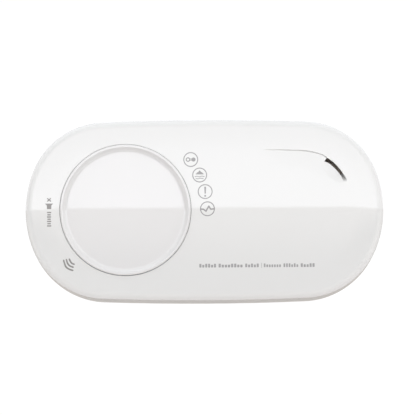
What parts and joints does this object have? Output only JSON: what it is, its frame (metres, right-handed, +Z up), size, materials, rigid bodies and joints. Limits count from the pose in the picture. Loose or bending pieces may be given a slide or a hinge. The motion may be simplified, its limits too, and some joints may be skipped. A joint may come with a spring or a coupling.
{
  "type": "carbon monoxide alarm",
  "caption": "Oblong wall-hung carbon monoxide alarm with a large round test button, hidden status lamps and a curved sound slot",
  "frame": {"origin": "centre of the wall plate's flat back face, on the wall's surface and midway between the two wall screws", "axes": "+X to the viewer's right along the length, +Y into the wall, +Z up; the front faces -Y"},
  "size_m": [0.1262, 0.0345, 0.064],
  "materials": {
    "case_white": "smooth gloss",
    "button_white": "smooth gloss",
    "plate_white": "fine texture",
    "steel": "zinc plated",
    "spring_steel": "bright wire",
    "clear": "clear polished",
    "lamp": "diffuse lens",
    "board_green": "solder mask",
    "board_blue": "solder mask",
    "black_plastic": "moulded",
    "cream_plastic": "moulded",
    "nylon": "moulded",
    "sleeve": "film sleeve",
    "tinned": "tin plated",
    "red_rubber": "insulated wire",
    "black_rubber": "soft",
    "sensor_grey": "moulded",
    "carbon": "porous",
    "brass": "bright",
    "copper": "enamelled wire",
    "electrode": "silvered",
    "can": "satin",
    "part_brown": "ceramic chip",
    "grey_plastic": "moulded",
    "orange_plastic": "moulded",
    "label": "printed film"
  },
  "bodies": {
    "plate": {"wall_plate": "plate_white"},
    "alarm": {"rear_housing": "case_white", "front_cover": "case_white", "button_spring": "spring_steel", "light_guide": "clear", "status_leds": "lamp", "circuit_board": "board_green", "board_screws": "steel", "case_screws": "steel", "test_switch_body": "black_plastic", "battery_cell": "sleeve", "battery_terminals": "tinned", "battery_lead_red": "red_rubber", "battery_lead_black": "black_rubber", "battery_plug": "nylon", "battery_socket": "nylon", "battery_pad": "black_rubber", "co_sensor_body": "sensor_grey", "co_sensor_cap": "sensor_grey", "co_sensor_filter": "carbon", "co_sensor_pins": "tinned", "sounder_housing": "cream_plastic", "piezo_plate": "brass", "piezo_ceramic": "electrode", "sounder_contacts": "brass", "sounder_gasket": "black_rubber", "sounder_coil": "black_plastic", "microcontroller": "black_plastic", "driver_chips": "black_plastic", "capacitors": "can", "passive_parts": "part_brown", "radio_board": "board_blue", "radio_shield": "tinned", "radio_header": "black_plastic", "antenna": "copper", "learn_switch_body": "black_plastic", "power_switch_body": "tinned", "rating_label": "label"},
    "button": {"test_button": "button_white", "test_switch_plunger": "cream_plastic"},
    "pairing_button": {"learn_button": "grey_plastic", "learn_switch_plunger": "cream_plastic"},
    "power_slider": {"activation_slider": "orange_plastic", "power_switch_lever": "black_plastic"}
  },
  "joints": [
    {"name": "plate_release", "type": "slide", "parent": "plate", "child": "alarm", "axis": [0, 0, 1], "range_m": [0, 0.005]},
    {"name": "test_press", "type": "slide", "parent": "alarm", "child": "button", "axis": [0, 1, 0], "range_m": [0, 0.0008], "stiffness_N_per_m": 1500, "springref_m": -0.002, "deforming": ["button_spring"]},
    {"name": "pairing_press", "type": "slide", "parent": "alarm", "child": "pairing_button", "axis": [0, -1, 0], "range_m": [0, 0.0005], "stiffness_N_per_m": 1500, "springref_m": -0.0006},
    {"name": "power_slide", "type": "slide", "parent": "alarm", "child": "power_slider", "axis": [1, 0, 0], "range_m": [0, 0.003]}
  ]
}
